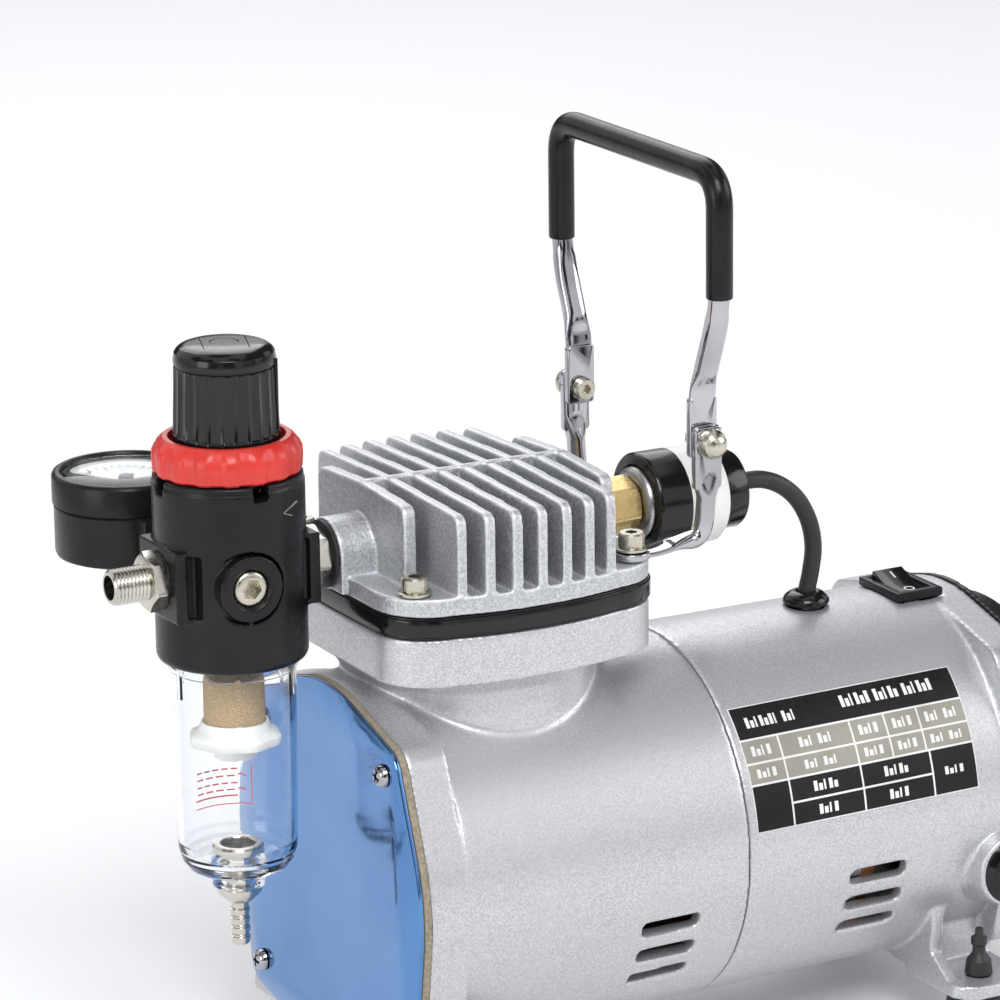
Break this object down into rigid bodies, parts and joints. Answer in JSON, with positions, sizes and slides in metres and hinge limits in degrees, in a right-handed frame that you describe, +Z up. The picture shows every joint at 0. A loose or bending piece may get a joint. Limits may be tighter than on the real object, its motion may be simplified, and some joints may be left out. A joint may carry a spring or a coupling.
{
  "type": "airbrush compressor",
  "caption": "Oil-free piston air compressor with a finned head, filter regulator with gauge and clear bowl, pressure switch, folding carrying handle and rubber feet.",
  "frame": {"origin": "centre of the bounding box at the plane of the four feet, so z = 0 is the bench top", "axes": "+X along the motor axis from the blue front cover to the fan, +Y to the side of the pressure gauge, away from the outlet side where the rating label is read, +Z up along the cylinder"},
  "size_m": [0.2758, 0.1354, 0.2542],
  "materials": {
    "silver_paint": "metallic silver paint with a fine sparkle",
    "cast_aluminium": "bead-blasted casting",
    "blue_plate": "blue lacquer on polished sheet, mirror-like",
    "gasket_board": "pressed gasket board",
    "black_plastic": "moulded black plastic, satin",
    "black_rubber": "black rubber",
    "red_plastic": "moulded red plastic",
    "white_plastic": "moulded white plastic",
    "chrome": "bright chrome plate",
    "nickel": "bright nickel plate",
    "brass": "turned brass",
    "steel": "machined steel",
    "copper": "enamelled copper wire",
    "sintered_bronze": "sintered bronze, matt and porous",
    "clear_plastic": "clear polycarbonate",
    "paper_white": "printed white dial"
  },
  "bodies": {
    "casing": {"crankcase": "silver_paint", "motor_housing": "silver_paint", "front_cover": "blue_plate", "cover_gasket": "gasket_board", "cover_screw_1": "chrome", "cover_screw_2": "chrome", "cover_screw_3": "chrome", "cover_screw_4": "chrome", "fan_guard": "black_plastic", "stator_core": "steel", "windings": "copper", "front_bearing": "steel", "rear_bearing": "steel", "cylinder_liner": "steel", "valve_plate": "black_rubber", "cylinder_head": "cast_aluminium", "head_bolt_1": "nickel", "head_bolt_2": "nickel", "head_bolt_3": "nickel", "head_bolt_4": "nickel", "outlet_nipple": "nickel", "regulator_body": "black_plastic", "regulator_bonnet": "black_plastic", "panel_ring": "red_plastic", "regulating_spring": "steel", "filter_bowl": "clear_plastic", "filter_element": "sintered_bronze", "filter_baffle": "white_plastic", "outlet_fitting": "nickel", "port_plug": "nickel", "gauge_case": "black_plastic", "gauge_dial": "paper_white", "gauge_lens": "clear_plastic", "switch_adapter": "brass", "pressure_switch": "black_plastic", "switch_lead": "black_rubber", "lead_grommet": "black_rubber", "mains_gland": "black_plastic", "rocker_frame": "black_plastic", "handle_bracket_near": "chrome", "handle_bracket_far": "chrome", "handle_pivot_near": "nickel", "handle_pivot_far": "nickel", "foot_1": "black_rubber", "foot_2": "black_rubber", "foot_3": "black_rubber", "foot_4": "black_rubber"},
    "rotating_group": {"rotor": "steel", "motor_shaft": "steel", "crank": "cast_aluminium", "fan": "black_plastic"},
    "piston": {"connecting_rod": "cast_aluminium"},
    "handle": {"handle_bail": "chrome", "handle_grip": "black_rubber"},
    "screw": {"adjusting_screw": "steel"},
    "knob": {"knob": "black_plastic"},
    "seat": {"spring_seat": "brass"},
    "rocker": {"rocker": "black_plastic"},
    "needle": {"gauge_needle": "black_plastic"},
    "drain": {"drain_valve": "nickel"}
  },
  "joints": [
    {"name": "handle_fold", "type": "hinge", "parent": "casing", "child": "handle", "pos_m": [0.0204, -0.00825, 0.1772], "axis": [0, 1, 0], "range_deg": [-88, 100]},
    {"name": "knob_turn", "type": "hinge", "parent": "casing", "child": "screw", "pos_m": [-0.1032, -0.00825, 0.19], "axis": [0, 0, -1], "range_deg": [0, 2150]},
    {"name": "knob_lift", "type": "slide", "parent": "screw", "child": "knob", "axis": [0, 0, 1], "range_m": [0, 0.003]},
    {"name": "seat_travel", "type": "slide", "parent": "casing", "child": "seat", "axis": [0, 0, -1], "range_m": [0, 0.006], "deforming": ["regulating_spring"]},
    {"name": "needle_swing", "type": "hinge", "parent": "casing", "child": "needle", "pos_m": [-0.1068, 0.04775, 0.1627], "axis": [0, 0, -1], "range_deg": [0, 270]},
    {"name": "rocker_tilt", "type": "hinge", "parent": "casing", "child": "rocker", "pos_m": [0.1054, -0.00825, 0.1156], "axis": [-1, 0, 0], "range_deg": [0, 24]},
    {"name": "rotor_spin", "type": "hinge", "parent": "casing", "child": "rotating_group", "pos_m": [0, -0.00825, 0.063], "axis": [1, 0, 0], "continuous": true},
    {"name": "piston_stroke", "type": "slide", "parent": "casing", "child": "piston", "axis": [0, 0, 1], "range_m": [0, 0.014]},
    {"name": "drain_turn", "type": "hinge", "parent": "casing", "child": "drain", "pos_m": [-0.1032, -0.00825, 0.062], "axis": [0, 0, 1], "range_deg": [0, 360]}
  ],
  "couplings": [
    {"joint": "seat_travel", "follows": "knob_turn", "m_per_rad": 0.00015915}
  ]
}
